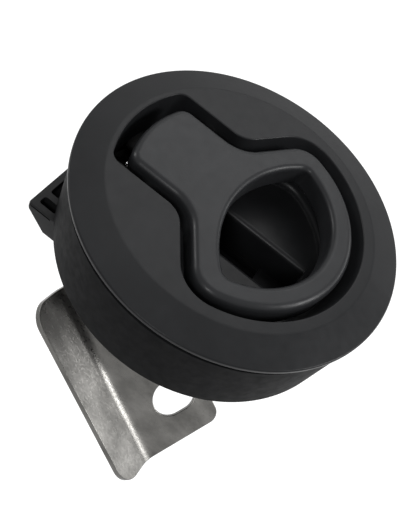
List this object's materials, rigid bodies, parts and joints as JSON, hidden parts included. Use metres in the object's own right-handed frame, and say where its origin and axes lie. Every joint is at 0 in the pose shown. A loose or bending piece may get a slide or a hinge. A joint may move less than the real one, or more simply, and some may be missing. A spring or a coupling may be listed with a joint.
{
  "type": "flush-pull slam latch",
  "caption": "Round flush-pull slam latch: recessed tipping handle in a keyhole well draws a sliding bolt, with mounting ring and bent strike plate",
  "frame": {"origin": "centre of the bezel flange's back plane, on the barrel's axis, where the door's face lies", "axes": "+Z out of the door's front, +X the way the bolt points, Y along the hinge pin"},
  "size_m": [0.0642, 0.0673, 0.0562],
  "materials": {
    "black_nylon": "fine matt moulded texture",
    "handle_nylon": "fine matt moulded texture",
    "ring_nylon": "satin moulded",
    "bolt_nylon": "satin moulded",
    "cover_nylon": "matt moulded",
    "rubber": "matt",
    "pin_steel": "ground",
    "spring_steel": "drawn wire",
    "screw_steel": "passivated",
    "strike_steel": "satin stainless sheet"
  },
  "bodies": {
    "case": {"housing": "black_nylon", "gasket": "rubber", "mounting_ring": "ring_nylon", "handle_pin": "pin_steel", "bolt_spring_left": "spring_steel", "bolt_spring_right": "spring_steel", "back_cover": "cover_nylon", "cover_screws": "screw_steel", "strike_plate": "strike_steel"},
    "handle": {"pull_handle": "handle_nylon", "handle_spring_left": "spring_steel", "handle_spring_right": "spring_steel"},
    "latch": {"bolt": "bolt_nylon"}
  },
  "joints": [
    {"name": "handle_tilt", "type": "hinge", "parent": "case", "child": "handle", "pos_m": [0.0155, 0, -0.0045], "axis": [0, 1, 0], "range_deg": [0, 40], "stiffness_Nm_per_rad": 0.075, "springref_deg": -17.19},
    {"name": "bolt_slide", "type": "slide", "parent": "case", "child": "latch", "axis": [-1, 0, 0], "range_m": [0, 0.0105], "stiffness_N_per_m": 1, "springref_m": -0.004, "deforming": ["bolt_spring_left", "bolt_spring_right"]}
  ],
  "couplings": [
    {"joint": "bolt_slide", "follows": "handle_tilt", "m_per_rad": 0.01504}
  ]
}
